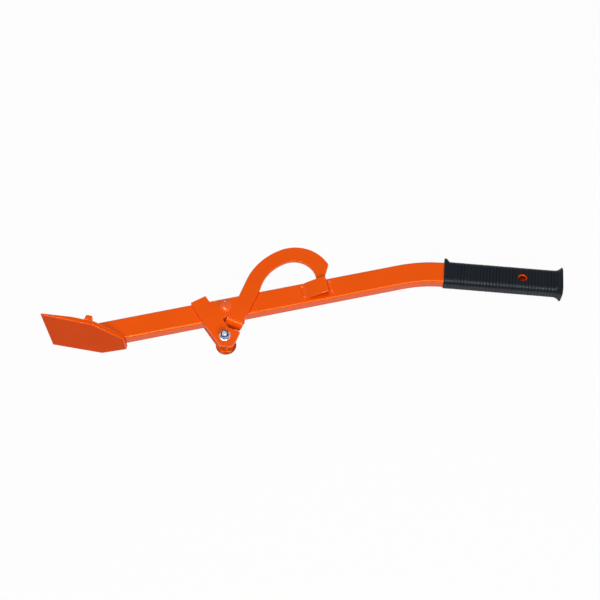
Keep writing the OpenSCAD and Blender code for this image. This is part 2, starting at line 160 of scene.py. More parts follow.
# Tints of the paint's gloss: the pigment colours it, and less so where the film is thin
FILM_GLOSS = (1, 0.55, 0.13, 1)
EDGE_GLOSS = (1, 0.7, 0.35, 1)


def linear(code):
    """Linear RGBA of an sRGB hex colour."""
    channels = [int(code[i:i + 2], 16) / 255 for i in (0, 2, 4)]
    return [c / 12.92 if c <= 0.04045 else ((c + 0.055) / 1.055) ** 2.4 for c in channels] + [1.0]


def frame_at(x, y, turn=0.0):
    """Matrix of a frame in the tool's plane: millimetres from the pivot, turned in degrees."""
    place = Matrix.Translation(PIVOT) @ Matrix.Scale(MM, 4) @ Matrix.Translation((x, y, 0))
    return place @ Matrix.Rotation(radians(turn), 4, "Z")


GRIP_FRAME = frame_at(BEND_X, 0, -BEND_ANGLE)
BLADE_FRAME = frame_at(HEEL_X, -TUBE_HALF_W, 180 - BLADE_ANGLE)
LUG_FRAME = frame_at(LUG_X, LUG_Y)


# Nodes


def add(tree, kind, inputs=None, **settings):
    """A node with its settings; each input is a value or another node's socket."""
    node = tree.nodes.new(kind)
    for name, value in settings.items():
        setattr(node, name, value)
    for key, value in (inputs or {}).items():
        if isinstance(value, bpy.types.NodeSocket):
            tree.links.new(value, node.inputs[key])
        else:
            node.inputs[key].default_value = value
    return node


def finish(name, shader_inputs, paint):
    """A material whose Principled shader has fixed inputs, and what paint(tree, place) links."""
    material = bpy.data.materials.new(name)
    material.use_nodes = True
    tree = material.node_tree
    tree.nodes.clear()
    place = add(tree, "ShaderNodeTexCoord").outputs["Object"]
    inputs = {**shader_inputs, **paint(tree, place)}
    shader = add(tree, "ShaderNodeBsdfPrincipled", inputs)
    add(tree, "ShaderNodeOutputMaterial", {"Surface": shader.outputs[0]})
    return material


def noise(size_mm, detail=2.0):
    """Inputs of a noise texture whose features are of a real size."""
    return {"Scale": 1000 / size_mm, "Detail": detail, "Roughness": 0.5}


def powder_coat(name, colour, level, sheen, tint):
    """Powder-coated steel: a satin film with a slight orange peel, whose pigment tints its gloss."""

    def paint(tree, place):
        cloud = add(tree, "ShaderNodeTexNoise", {"Vector": place, **noise(70)})
        shade = add(tree, "ShaderNodeMapRange", {
            0: cloud.outputs["Fac"], 1: 0.3, 2: 0.7, 3: 0.96, 4: 1.03})
        tone = add(tree, "ShaderNodeVectorMath", {
            0: colour[:3], "Scale": shade.outputs[0]}, operation="SCALE")
        # Orange peel has waves of 2 to 3 mm
        peel = add(tree, "ShaderNodeTexNoise", {"Vector": place, **noise(2.4, 1.0)})
        grit = add(tree, "ShaderNodeTexNoise", {"Vector": place, **noise(12, 3.0)})
        gloss = add(tree, "ShaderNodeMapRange", {
            0: grit.outputs["Fac"], 1: 0.3, 2: 0.7, 3: sheen - 0.03, 4: sheen + 0.03})
        bump = add(tree, "ShaderNodeBump", {
            "Strength": 0.1, "Distance": 0.1 * MM, "Height": peel.outputs["Fac"]})
        return {"Base Color": tone.outputs[0], "Roughness": gloss.outputs[0],
                "Normal": bump.outputs[0]}

    return finish(name, {"Specular IOR Level": level, "Specular Tint": tint}, paint)


def moulded_rubber(name, colour):
    """Soft moulded PVC of a slip-on grip: near black, with a fine skin, and painted shade in its
    grooves.
    """

    def paint(tree, place):
        cloud = add(tree, "ShaderNodeTexNoise", {"Vector": place, **noise(25, 3.0)})
        shade = add(tree, "ShaderNodeMapRange", {
            0: cloud.outputs["Fac"], 1: 0.3, 2: 0.7, 3: 0.85, 4: 1.15})
        # Painted shade: the groove mark stored on the mesh darkens the colour and dims the gloss in
        # the grooves, where shade falls
        groove = add(tree, "ShaderNodeAttribute", attribute_name="groove")
        groove_shade = add(tree, "ShaderNodeMapRange", {0: groove.outputs["Fac"], 3: 1.0, 4: 0.15})
        dark = add(tree, "ShaderNodeMath", {
            0: shade.outputs[0], 1: groove_shade.outputs[0]}, operation="MULTIPLY")
        tone = add(tree, "ShaderNodeVectorMath", {
            0: colour[:3], "Scale": dark.outputs[0]}, operation="SCALE")
        # The mould's etched skin is finer than this, drawn coarser so that it shows
        skin = add(tree, "ShaderNodeTexNoise", {"Vector": place, **noise(0.9, 2.0)})
        gloss = add(tree, "ShaderNodeMapRange", {
            0: cloud.outputs["Fac"], 1: 0.3, 2: 0.7, 3: 0.3, 4: 0.38})
        level = add(tree, "ShaderNodeMath", {0: groove_shade.outputs[0], 1: 0.2}, operation="MULTIPLY")
        bump = add(tree, "ShaderNodeBump", {
            "Strength": 0.15, "Distance": 0.1 * MM, "Height": skin.outputs["Fac"]})
        return {"Base Color": tone.outputs[0], "Roughness": gloss.outputs[0],
                "Specular IOR Level": level.outputs[0], "Normal": bump.outputs[0]}

    return finish(name, {"Specular Tint": (0.75, 0.9, 1, 1)}, paint)


def zinc_plate(name, colour):
    """Bright zinc-plated steel: a cool silver skin with a blue cast and faint plating clouds."""

    def paint(tree, place):
        cloud = add(tree, "ShaderNodeTexNoise", {"Vector": place, **noise(6, 3.0)})
        shade = add(tree, "ShaderNodeMapRange", {
            0: cloud.outputs["Fac"], 1: 0.3, 2: 0.7, 3: 0.82, 4: 1.05})
        tone = add(tree, "ShaderNodeVectorMath", {
            0: colour[:3], "Scale": shade.outputs[0]}, operation="SCALE")
        # Plating crystals are far finer than this, drawn coarser so that they show
        grain = add(tree, "ShaderNodeTexNoise", {"Vector": place, **noise(0.8, 2.0)})
        gloss = add(tree, "ShaderNodeMapRange", {
            0: grain.outputs["Fac"], 1: 0.3, 2: 0.7, 3: 0.18, 4: 0.3})
        bump = add(tree, "ShaderNodeBump", {
            "Strength": 0.1, "Distance": 0.05 * MM, "Height": grain.outputs["Fac"]})
        return {"Base Color": tone.outputs[0], "Roughness": gloss.outputs[0],
                "Normal": bump.outputs[0]}

    return finish(name, {"Metallic": 1.0}, paint)


def nylon(name, colour):
    """Moulded nylon of a locking ring: dull, faintly waxy and unevenly dyed."""

    def paint(tree, place):
        cloud = add(tree, "ShaderNodeTexNoise", {"Vector": place, **noise(1.5, 2.0)})
        shade = add(tree, "ShaderNodeMapRange", {
            0: cloud.outputs["Fac"], 1: 0.3, 2: 0.7, 3: 0.85, 4: 1.15})
        tone = add(tree, "ShaderNodeVectorMath", {
            0: colour[:3], "Scale": shade.outputs[0]}, operation="SCALE")
        return {"Base Color": tone.outputs[0]}

    return finish(name, {"Roughness": 0.45, "Subsurface Weight": 0.1,
                         "Subsurface Scale": 0.5 * MM}, paint)


def geometry_tree(name, inputs):
    """A Geometry Nodes tree with named inputs; returns it and the sockets of those inputs."""
    tree = bpy.data.node_groups.new(name, "GeometryNodeTree")
    tree.interface.new_socket("Geometry", in_out="OUTPUT", socket_type="NodeSocketGeometry")
    for label, kind in {"Geometry": "Geometry", **inputs, "Finish": "Material"}.items():
        tree.interface.new_socket(label, in_out="INPUT", socket_type="NodeSocket" + kind)
    return tree, add(tree, "NodeGroupInput").outputs


def close_tree(tree, geometry, given):
    """Ends a tree in Realize Instances and Set Material."""
    real = add(tree, "GeometryNodeRealizeInstances", {0: geometry})
    smooth = add(tree, "GeometryNodeSetShadeSmooth", {0: real.outputs[0], 2: True})
    done = add(tree, "GeometryNodeSetMaterial", {0: smooth.outputs[0], 2: given["Finish"]})
    add(tree, "NodeGroupOutput", {0: done.outputs[0]})
    return tree


def rib_tree():
    """Ribs that run round a grip: they fade out at both ends, and each stands a little lower or
    higher. The grooves are also stored as an attribute, a mark of painted shade for the finish to
    darken."""
    tree, given = geometry_tree("Grip ribs", {
        "Start": "Vector", "Along": "Vector", "First": "Float", "Last": "Float",
        "Fade": "Float", "Pitch": "Float", "Height": "Float"})
    place = add(tree, "GeometryNodeInputPosition").outputs[0]
    arm = add(tree, "ShaderNodeVectorMath", {0: place, 1: given["Start"]}, operation="SUBTRACT")
    run = add(tree, "ShaderNodeVectorMath", {
        0: arm.outputs[0], 1: given["Along"]}, operation="DOT_PRODUCT").outputs["Value"]
    turn = add(tree, "ShaderNodeMath", {0: run, 1: given["Pitch"]}, operation="DIVIDE")
    phase = add(tree, "ShaderNodeMath", {0: turn.outputs[0], 1: pi}, operation="MULTIPLY")
    wave = add(tree, "ShaderNodeMath", {0: phase.outputs[0]}, operation="SINE")
    crest = add(tree, "ShaderNodeMath", {0: wave.outputs[0]}, operation="ABSOLUTE")
    slot = add(tree, "ShaderNodeMath", {0: 1.0, 1: crest.outputs[0]}, operation="SUBTRACT")
    groove = add(tree, "ShaderNodeMath", {0: slot.outputs[0], 1: 2.0}, operation="POWER")
    first = add(tree, "ShaderNodeMath", {0: run, 1: given["First"]}, operation="SUBTRACT")
    rise = add(tree, "ShaderNodeMath", {
        0: first.outputs[0], 1: given["Fade"]}, operation="DIVIDE", use_clamp=True)
    last = add(tree, "ShaderNodeMath", {0: given["Last"], 1: run}, operation="SUBTRACT")
    fall = add(tree, "ShaderNodeMath", {
        0: last.outputs[0], 1: given["Fade"]}, operation="DIVIDE", use_clamp=True)
    both = add(tree, "ShaderNodeMath", {0: rise.outputs[0], 1: fall.outputs[0]}, operation="MULTIPLY")
    number = add(tree, "ShaderNodeMath", {0: turn.outputs[0]}, operation="FLOOR")
    chance = add(tree, "ShaderNodeTexWhiteNoise", {"W": number.outputs[0]}, noise_dimensions="1D")
    land = add(tree, "ShaderNodeMapRange", {0: chance.outputs["Value"], 3: 0.0, 4: RIB_LAND})
    sunk = add(tree, "ShaderNodeMath", {
        0: land.outputs[0], 1: groove.outputs[0]}, operation="MAXIMUM")
    tall = add(tree, "ShaderNodeMath", {0: both.outputs[0], 1: given["Height"]}, operation="MULTIPLY")
    inward = add(tree, "ShaderNodeMath", {0: tall.outputs[0], 1: -1.0}, operation="MULTIPLY")
    depth = add(tree, "ShaderNodeMath", {
        0: sunk.outputs[0], 1: inward.outputs[0]}, operation="MULTIPLY")
    normal = add(tree, "GeometryNodeInputNormal").outputs[0]
    offset = add(tree, "ShaderNodeVectorMath", {
        0: normal, "Scale": depth.outputs[0]}, operation="SCALE")
    ribbed = add(tree, "GeometryNodeSetPosition", {0: given["Geometry"], 3: offset.outputs[0]})
    # The mark of painted shade in each groove, stronger or weaker at random
    share = add(tree, "ShaderNodeMapRange", {0: chance.outputs["Value"], 3: 1.0, 4: 0.2})
    shade_mark = add(tree, "ShaderNodeMath", {
        0: groove.outputs[0], 1: share.outputs[0]}, operation="MULTIPLY")
    marked = add(tree, "GeometryNodeStoreNamedAttribute", {
        0: ribbed.outputs[0], "Name": "groove", "Value": shade_mark.outputs[0]},
        data_type="FLOAT", domain="POINT")
    return close_tree(tree, marked.outputs[0], given)


def bead_tree():
    """A weld bead along a seam: a round cord that swells at each ripple of the weld pool."""
    tree, given = geometry_tree("Weld bead", {"Radius": "Float", "Pitch": "Float", "Ripple": "Float"})
    seam = add(tree, "GeometryNodeMeshToCurve", {0: given["Geometry"]})
    step = add(tree, "ShaderNodeMath", {0: given["Pitch"], 1: 6.0}, operation="DIVIDE")
    fine = add(tree, "GeometryNodeResampleCurve", {
        0: seam.outputs[0], 3: step.outputs[0]}, mode="LENGTH")
    run = add(tree, "GeometryNodeSplineParameter").outputs["Length"]
    count = add(tree, "ShaderNodeMath", {0: run, 1: given["Pitch"]}, operation="DIVIDE")
    part = add(tree, "ShaderNodeMath", {0: count.outputs[0]}, operation="FRACT")
    slump = add(tree, "ShaderNodeMath", {0: part.outputs[0], 1: 2.0}, operation="POWER")
    dip = add(tree, "ShaderNodeMath", {
        0: slump.outputs[0], 1: given["Ripple"]}, operation="MULTIPLY")
    keep = add(tree, "ShaderNodeMath", {0: 1.0, 1: dip.outputs[0]}, operation="SUBTRACT")
    scale = add(tree, "ShaderNodeMath", {
        0: keep.outputs[0], 1: given["Radius"]}, operation="MULTIPLY")
    ring = add(tree, "GeometryNodeCurvePrimitiveCircle", {"Resolution": 16, "Radius": 1.0})
    cord = add(tree, "GeometryNodeCurveToMesh", {
        0: fine.outputs[0], 1: ring.outputs[0], "Scale": scale.outputs[0], "Fill Caps": True})
    return close_tree(tree, cord.outputs[0], given)


def spot_tree():
    """Low weld spots, one on each given point, each of a slightly different size."""
    tree, given = geometry_tree("Weld spots", {"Radius": "Float", "Rise": "Float"})
    flat = add(tree, "ShaderNodeMath", {0: given["Rise"], 1: given["Radius"]}, operation="DIVIDE")
    ball = add(tree, "GeometryNodeMeshUVSphere", {0: 32, 1: 24, 2: given["Radius"]})
    place = add(tree, "GeometryNodeInputPosition").outputs[0]
    reach = add(tree, "ShaderNodeVectorMath", {0: place, 1: (1.0, 1.0, 0.0)}, operation="MULTIPLY")
    away = add(tree, "ShaderNodeVectorMath", {
        0: reach.outputs[0]}, operation="LENGTH").outputs["Value"]
    share = add(tree, "ShaderNodeMath", {0: away, 1: given["Radius"]}, operation="DIVIDE")
    rings = add(tree, "ShaderNodeMath", {
        0: share.outputs[0], 1: SPOT_RINGS * pi}, operation="MULTIPLY")
    wave = add(tree, "ShaderNodeMath", {0: rings.outputs[0]}, operation="COSINE")
    pit = add(tree, "ShaderNodeMath", {0: wave.outputs[0], 1: -SPOT_PIT}, operation="MULTIPLY")
    level = add(tree, "ShaderNodeMath", {0: pit.outputs[0], 1: 1 - SPOT_PIT}, operation="ADD")
    tall = add(tree, "ShaderNodeMath", {
        0: level.outputs[0], 1: flat.outputs[0]}, operation="MULTIPLY")
    squash = add(tree, "ShaderNodeCombineXYZ", {0: 1.0, 1: 1.0, 2: tall.outputs[0]})
    low = add(tree, "ShaderNodeVectorMath", {
        0: place, 1: squash.outputs[0]}, operation="MULTIPLY")
    drop = add(tree, "GeometryNodeSetPosition", {0: ball.outputs[0], 2: low.outputs[0]})
    size = add(tree, "FunctionNodeRandomValue", {2: 0.86, 3: 1.0, "Seed": 4}, data_type="FLOAT")
    spots = add(tree, "GeometryNodeInstanceOnPoints", {
        0: given["Geometry"], 2: drop.outputs[0], "Scale": size.outputs[1]})
    return close_tree(tree, spots.outputs[0], given)


def thread_tree():
    """The ridge of a screw thread, wound along Z from the lowest given point."""
    tree, given = geometry_tree("Screw thread", {
        "Radius": "Float", "Ridge": "Float", "Pitch": "Float", "Length": "Float"})
    turns = add(tree, "ShaderNodeMath", {
        0: given["Length"], 1: given["Pitch"]}, operation="DIVIDE")
    coil = add(tree, "GeometryNodeCurveSpiral", {
        "Resolution": 40, "Rotations": turns.outputs[0], "Start Radius": given["Radius"],
        "End Radius": given["Radius"], "Height": given["Length"]})
    ring = add(tree, "GeometryNodeCurvePrimitiveCircle", {"Resolution": 4, "Radius": 1.0})
    ridge = add(tree, "GeometryNodeCurveToMesh", {
        0: coil.outputs[0], 1: ring.outputs[0], "Scale": given["Ridge"], "Fill Caps": True})
    both = add(tree, "GeometryNodeJoinGeometry", {0: ridge.outputs[0]})
    tree.links.new(given["Geometry"], both.inputs[0])
    return close_tree(tree, both.outputs[0], given)


# Meshes


def mesh_of(bm, place=Matrix.Identity(4)):
    """A smooth-shaded mesh from bmesh data, moved to its place, with sharp edges kept."""
    bmesh.ops.recalc_face_normals(bm, faces=bm.faces)
    mesh = bpy.data.meshes.new("Shape")
    bm.to_mesh(mesh)
    bm.free()
    # The normals of a CAD node don't fit its merged copy
    if "custom_normal" in mesh.attributes:
        mesh.attributes.remove(mesh.attributes["custom_normal"])
    mesh.transform(place)
    mesh.shade_smooth()
    mesh.set_sharp_from_angle(angle=radians(SHARP_ANGLE))
    return mesh


def turned(outline, place, steps):
    """A shape turned about Z from an outline of radius and height, closed or from axis to axis."""
    bm = bmesh.new()
    rings = []
    for r, z in outline:
        turns = [2 * pi * i / steps for i in range(steps if r else 1)]
        rings.append([bm.verts.new((r * cos(a), r * sin(a), z)) for a in turns])
    following = rings[1:] + (rings[:1] if outline[0][0] else [])
    for low, high in zip(rings, following):
        for i in range(steps):
            j = (i + 1) % steps
            corners = (low[i % len(low)], low[j % len(low)], high[j % len(high)], high[i % len(high)])
            face = list(dict.fromkeys(corners))
            if len(face) > 2:
                bm.faces.new(face)
    return mesh_of(bm, place)


def lofted(rings, place):
    """A closed skin through rings of the same number of points, with both end rings filled."""
    bm = bmesh.new()
    loops = [[bm.verts.new(point) for point in ring] for ring in rings]
    for low, high in zip(loops, loops[1:]):
        for i in range(len(low)):
            j = (i + 1) % len(low)
            bm.faces.new((low[i], low[j], high[j], high[i]))
    bm.faces.new(loops[0])
    bm.faces.new(loops[-1])
    return mesh_of(bm, place)


def show(name, mesh, material=None):
    """An object for a mesh, in the scene."""
    piece = bpy.data.objects.new(name, mesh)
    mesh.name = name
    bpy.context.scene.collection.objects.link(piece)
    if material:
        mesh.materials.clear()
        mesh.materials.append(material)
    return piece


def settle(piece):
    """Turns a piece and its modifiers into a plain mesh."""
    bpy.context.view_layer.update()
    seen = piece.evaluated_get(bpy.context.evaluated_depsgraph_get())
    mesh = bpy.data.meshes.new_from_object(seen)
    piece.modifiers.clear()
    piece.data = mesh
    mesh.name = piece.name
    return piece


def grow(name, mesh, tree, sizes, material, place=Matrix.Identity(4)):
    """A piece that a Geometry Nodes tree makes from a mesh, then moved to its place."""
    piece = show(name, mesh)
    modifier = piece.modifiers.new(tree.name, "NODES")
    modifier.node_group = tree
    for item in tree.interface.items_tree:
        if item.in_out == "INPUT" and item.name in sizes:
            modifier[item.identifier] = sizes[item.name]
        elif item.name == "Finish":
            modifier[item.identifier] = material
    settle(piece)
    piece.data.transform(place)
    return piece


def round_edges(piece, radius, angle, edge_material):
    """Rounds the edges of a piece that turn by more than an angle, in a finish of their own."""
    piece.data.materials.append(edge_material)
    bevel = piece.modifiers.new("Rounded edges", "BEVEL")
    bevel.material = 1
    bevel.width = radius
    bevel.segments = 3
    bevel.limit_method = "ANGLE"
    bevel.angle_limit = radians(angle)
    bevel.use_clamp_overlap = False
    bevel.harden_normals = True
    return settle(piece)


def cut(piece, tool, operation="DIFFERENCE", material=None):
    """Cuts a piece by a tool's mesh, joins both or keeps what both share."""
    cutter = show("Cutter", tool, material)
    boolean = piece.modifiers.new("Cut", "BOOLEAN")
    boolean.material_mode = "TRANSFER" if material else "INDEX"
    boolean.object = cutter
    boolean.operation = operation
    boolean.solver = "EXACT"
    settle(piece)
    bpy.data.objects.remove(cutter)
    return piece


def softened(name, node, radius, material, angle, edge_material):
    """A piece with the shape of a CAD node, its edges rounded, in two finishes."""
    bm = bmesh.new()
    bm.from_mesh(frame["nodes"][node].data)
    bmesh.ops.remove_doubles(bm, verts=bm.verts, dist=0.002 * MM)
    bmesh.ops.dissolve_limit(bm, angle_limit=radians(1), verts=bm.verts, edges=bm.edges)
    piece = show(name, mesh_of(bm), material)
    return round_edges(piece, radius, angle, edge_material)


def place_piece(piece, body, slot, *nodes):
    """Sets a piece on its body and hides the CAD nodes that it stands for; its slot is not used."""
    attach(piece, body)
    if nodes:
        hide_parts(*nodes)


def coat_node(node, material):
    """Gives a CAD node its material."""
    frame["nodes"][node].material_slots[0].material = material


def ring_outline(inner, outer, low, high, edge):
    """Outline of a flat ring whose edges are rounded by a small chamfer."""
    third = edge / 3
    return [(inner, low + edge), (inner + edge, low), (outer - edge, low),
            (outer - third, low + third), (outer, low + edge), (outer, high - edge),
            (outer - third, high - third), (outer - edge, high), (inner + edge, high),
            (inner, high - edge)]


def hexagon(name, base, height, bevel_low, bevel_high, material, turned_material):
    """A hexagon of HEX_AF across its flats, its corners turned off at one or both faces."""
    corner_r = HEX_AF / 2 / cos(pi / 6)
    low, high = base, base + height
    bm = bmesh.new()
    ends = [[bm.verts.new((corner_r * cos(i * pi / 3), corner_r * sin(i * pi / 3), z))
             for i in range(6)] for z in (low, high)]
    for i in range(6):
        j = (i + 1) % 6
        bm.faces.new((ends[0][i], ends[0][j], ends[1][j], ends[1][i]))
    bm.faces.new(ends[0])
    bm.faces.new(ends[1])
    piece = show(name, mesh_of(bm, LUG_FRAME), material)
    out = corner_r + CUT_OVER
    face_r = HEX_AF / 2 - HEX_FACE_INSET
    fall = (out - face_r) * tan(radians(HEX_TURN_ANGLE))
    cone = [(0, low)]
    cone += [(face_r, low), (out, low + fall)] if bevel_low else [(out, low)]
    cone += [(out, high - fall), (face_r, high)] if bevel_high else [(out, high)]
    cone += [(0, high)]
    return cut(piece, turned(cone, LUG_FRAME, 96), "INTERSECT", turned_material)


# Grip


def section(s, high, low, half_t, r):
    """A rectangle with round corners, square to an axis at a place on it."""
    corner_steps, side_steps = 16, 8
    points = []
    corners = [(high - r, half_t - r, 0), (-low + r, half_t - r, 90),
               (-low + r, -half_t + r, 180), (high - r, -half_t + r, 270)]
    for k, (y, z, start) in enumerate(corners):
        arc = [radians(start + 90 * i / corner_steps) for i in range(corner_steps + 1)]
        points += [(y + r * cos(a), z + r * sin(a)) for a in arc]
        following = corners[(k + 1) % 4]
        turn = radians(start + 90)
        end = (following[0] + r * cos(turn), following[1] + r * sin(turn))
        here = points[-1]
        for i in range(1, side_steps):
            t = i / side_steps
            points.append((here[0] + (end[0] - here[0]) * t, here[1] + (end[1] - here[1]) * t))
    return [(s, y, z) for y, z in points]


def rim(depth, r=RIM_R):
    """How far a rounded rim draws in at a depth from its end face."""
    return r - sqrt(max(0.0, r * r - (r - depth) ** 2)) if depth < r else 0.0


def grip_ring(s):
    """The grip's outer ring at a place on its axis, with its flare and its thumb stop."""
    to_end = GRIP_END - s
    from_start = s - GRIP_START
    flare = FLARE_H * max(0.0, 1 - to_end / FLARE_LEN) ** FLARE_CURVE
    flare = min(FLARE_H, flare * FLARE_GAIN)
    draw = rim(to_end) + rim(from_start, START_RIM_R)
    fall = min(1.0, max(0.0, from_start / STOP_LEN - STOP_FLAT) / (1 - STOP_FLAT))
    stop = STOP_H * (0.5 + 0.5 * cos(pi * fall))
    return section(s, GRIP_HALF_W + flare + stop - draw, GRIP_HALF_W + flare - draw,
                   GRIP_HALF_T + flare - draw, GRIP_R + flare / 2)


def grip_rings():
    """All rings of the grip: from its cap along the tube to its mouth, and back along its skin."""
    half_w, half_t = TUBE_HALF_W + SLEEVE_GAP, TUBE_HALF_T + SLEEVE_GAP
    inside = [(s, half_w, half_w, half_t, TUBE_R)
              for s in (GRIP_END - GRIP_CAP + SLEEVE_GAP, SLEEVE_MID, GRIP_START)]
    stations = [GRIP_START + 0.12 * i for i in range(9)]
    s = stations[-1] + 0.3
    while s < GRIP_END - RIM_R:
        stations.append(s)
        s += RING_STEP
    stations += [GRIP_END - RIM_R + RIM_STEP * i for i in range(11)]
    return [section(*ring) for ring in inside] + [grip_ring(s) for s in stations]


# Stage


def seen_rays(tree):
    """1 for rays that show the background: the camera's, and those through metal and glass."""
    path = add(tree, "ShaderNodeLightPath")
    mirror = add(tree, "ShaderNodeMath", {
        0: path.outputs["Is Camera Ray"], 1: path.outputs["Is Glossy Ray"]}, operation="MAXIMUM")
    return add(tree, "ShaderNodeMath", {
        0: mirror.outputs[0], 1: path.outputs["Is Transmission Ray"]}, operation="MAXIMUM")


def floor_finish():
    """Matt white floor paper; it looks whiter than it lights, and keeps a soft shadow."""
    material = bpy.data.materials.new("White paper")
    material.use_nodes = True
    tree = material.node_tree
    tree.nodes.clear()
    place = add(tree, "ShaderNodeTexCoord").outputs["Object"]
    pulp = add(tree, "ShaderNodeTexNoise", {"Vector": place, **noise(3, 3.0)})
    bump = add(tree, "ShaderNodeBump", {
        "Strength": 0.05, "Distance": 0.1 * MM, "Height": pulp.outputs["Fac"]})
    paper = add(tree, "ShaderNodeBsdfDiffuse", {
        "Color": linear(FLOOR_COLOUR), "Normal": bump.outputs[0]})
    glow = add(tree, "ShaderNodeEmission", {"Strength": 1.0})
    share = add(tree, "ShaderNodeMath", {
        0: seen_rays(tree).outputs[0], 1: FLOOR_WHITE}, operation="MULTIPLY")
    mix = add(tree, "ShaderNodeMixShader", {
        0: share.outputs[0], 1: paper.outputs[0], 2: glow.outputs[0]})
    add(tree, "ShaderNodeOutputMaterial", {"Surface": mix.outputs[0]})
    return material


def room_light(strength):
    """Even light from all round, which shows as plain white."""
    world = bpy.data.worlds.new("Room")
    world.use_nodes = True
    tree = world.node_tree
    tree.nodes.clear()
    light = add(tree, "ShaderNodeBackground", {"Color": (1, 1, 1, 1), "Strength": strength})
    white = add(tree, "ShaderNodeBackground", {"Color": (1, 1, 1, 1), "Strength": 1.0})
    mix = add(tree, "ShaderNodeMixShader", {
        0: seen_rays(tree).outputs[0], 1: light.outputs[0], 2: white.outputs[0]})
    add(tree, "ShaderNodeOutputWorld", {"Surface": mix.outputs[0]})
    return world


# Properties


class FellingLeverSizes(bpy.types.PropertyGroup):
    """Sizes of the details that the scene adds to the CAD model"""

    blade_edge: FloatProperty(
        name="Blade edge", description="Radius of the painted edges of the blade",
        default=1.1 * MM, min=0.1 * MM, max=1.2 * MM, unit="LENGTH")
    plate_edge: FloatProperty(
        name="Plate edge", description="Radius of the painted edges of cut plate",
        default=0.7 * MM, min=0.1 * MM, max=0.8 * MM, unit="LENGTH")
    guard_edge: FloatProperty(
        name="Guard edge", description="Radius of the painted edges of the point guard",
        default=0.5 * MM, min=0.1 * MM, max=0.6 * MM, unit="LENGTH")
    rib_pitch: FloatProperty(
        name="Rib pitch", description="Distance between the ribs of the grip",
        default=5 * MM, min=2 * MM, max=12 * MM, unit="LENGTH")
    rib_height: FloatProperty(
        name="Rib height", description="Depth of the grooves between the ribs",
        default=0.45 * MM, min=0.1 * MM, max=2 * MM, unit="LENGTH")
    bead_radius: FloatProperty(
        name="Bead radius", description="Radius of the weld bead on the blade",
        default=3.4 * MM, min=2 * MM, max=4.5 * MM, unit="LENGTH")
    bead_pitch: FloatProperty(
        name="Bead pitch", description="Distance between the ripples of a weld bead",
        default=2.2 * MM, min=1 * MM, max=5 * MM, unit="LENGTH")
    thread_pitch: FloatProperty(
        name="Thread pitch", description="Pitch of the lug bolt's thread",
        default=1.25 * MM, min=1 * MM, max=2.5 * MM, unit="LENGTH")


class FellingLeverColours(bpy.types.PropertyGroup):
    """Colours of the finishes"""

    paint: FloatVectorProperty(
        name="Paint", description="Orange powder coat", subtype="COLOR", size=4,
        default=linear("E34B00"), min=0.0, max=1.0)
    # Painted shade: the washer under the bolt head is drawn a darker orange, for the shade of the
    # plates above it
    shaded_washer: FloatVectorProperty(
        name="Coat in painted shade", description="Coat darkened by painted shade, on the washer under the bolt head",
        subtype="COLOR", size=4, default=linear("A83A08"), min=0.0, max=1.0)
    grip: FloatVectorProperty(
        name="Grip", description="Moulded grip", subtype="COLOR", size=4,
        default=linear("080A12"), min=0.0, max=1.0)
    zinc: FloatVectorProperty(
        name="Zinc", description="Zinc-plated bolt, washer and spacer", subtype="COLOR", size=4,
        default=linear("C6CCD8"), min=0.0, max=1.0)
    # Painted shade: the nut's flats are drawn as dark blue zinc, standing for the dark surroundings
    # they reflect, while its turned corners stay bright
    shaded: FloatVectorProperty(
        name="Zinc in painted shade", description="Dark blue zinc on the flats of the nut",
        subtype="COLOR", size=4, default=linear("36415C"), min=0.0, max=1.0)
    insert: FloatVectorProperty(
        name="Locking ring", description="Nylon ring in the lock nut", subtype="COLOR", size=4,
        default=linear("0C1428"), min=0.0, max=1.0)


class FellingLeverStage(bpy.types.PropertyGroup):
    """Camera and light"""

    azimuth: FloatProperty(
        name="Azimuth", description="Turn of the camera about the tool", subtype="ANGLE",
        default=radians(-12.403))
    elevation: FloatProperty(
        name="Elevation", description="Height of the camera above the floor, as an angle",
        subtype="ANGLE", default=radians(61.971))
    distance: FloatProperty(
        name="Distance", description="From the camera to the middle of the picture",
        default=1.8457, min=0.5, max=10.0, unit="LENGTH")
    lens: FloatProperty(
        name="Lens", description="Focal length in millimetres", default=71.4, min=20.0, max=200.0)
    sky: FloatProperty(
        name="Room light", description="Strength of the even light of the room",
        default=0.15, min=0.0, max=2.0)
    key: FloatProperty(
        name="Key lamp", description="Power of the long lamp above", subtype="POWER",
        default=18.5, min=0.0, max=500.0)
    front: FloatProperty(
        name="Front lamp", description="Power of the broad lamp in front", subtype="POWER",
        default=33.0, min=0.0, max=500.0)
    rim: FloatProperty(
        name="Rim lamp", description="Power of the small low lamp behind", subtype="POWER",
        default=2.0, min=0.0, max=500.0)


# Operators

FINISHES = {}


class FELLINGLEVER_OT_finishes(bpy.types.Operator):
    """Makes the materials of the tool"""

    bl_idname = "felling_lever.finishes"
    bl_label = "Make finishes"

    def execute(self, context):
        colours = context.scene.felling_lever_colours
        # The film draws thin over edges, weld spots and the rivet, where it looks glossier
        for key, name, colour, level, sheen, tint in (
                ("paint", "Powder-coated steel", colours.paint, 0.6, 0.2, FILM_GLOSS),
                ("edge", "Powder-coated edge", colours.paint, 0.9, 0.15, EDGE_GLOSS),
                # The darker coat here is painted shade
                ("shaded_washer", "Powder coat in painted shade", colours.shaded_washer, 0.3, 0.3, FILM_GLOSS),
                ("satin", "Powder-coated sheet", colours.paint, 0.02, 0.4, FILM_GLOSS)):
            FINISHES[key] = powder_coat(name, colour, level, sheen, tint)
        FINISHES["grip"] = moulded_rubber("Moulded soft PVC", colours.grip)
        FINISHES["zinc"] = zinc_plate("Zinc-plated steel", colours.zinc)
        # Painted shade on the nut's flats: a darker zinc for the dark they reflect
        FINISHES["nut"] = zinc_plate("Blue-passivated zinc", colours.shaded)
        FINISHES["insert"] = nylon("Dyed nylon", colours.insert)
        return {"FINISHED"}


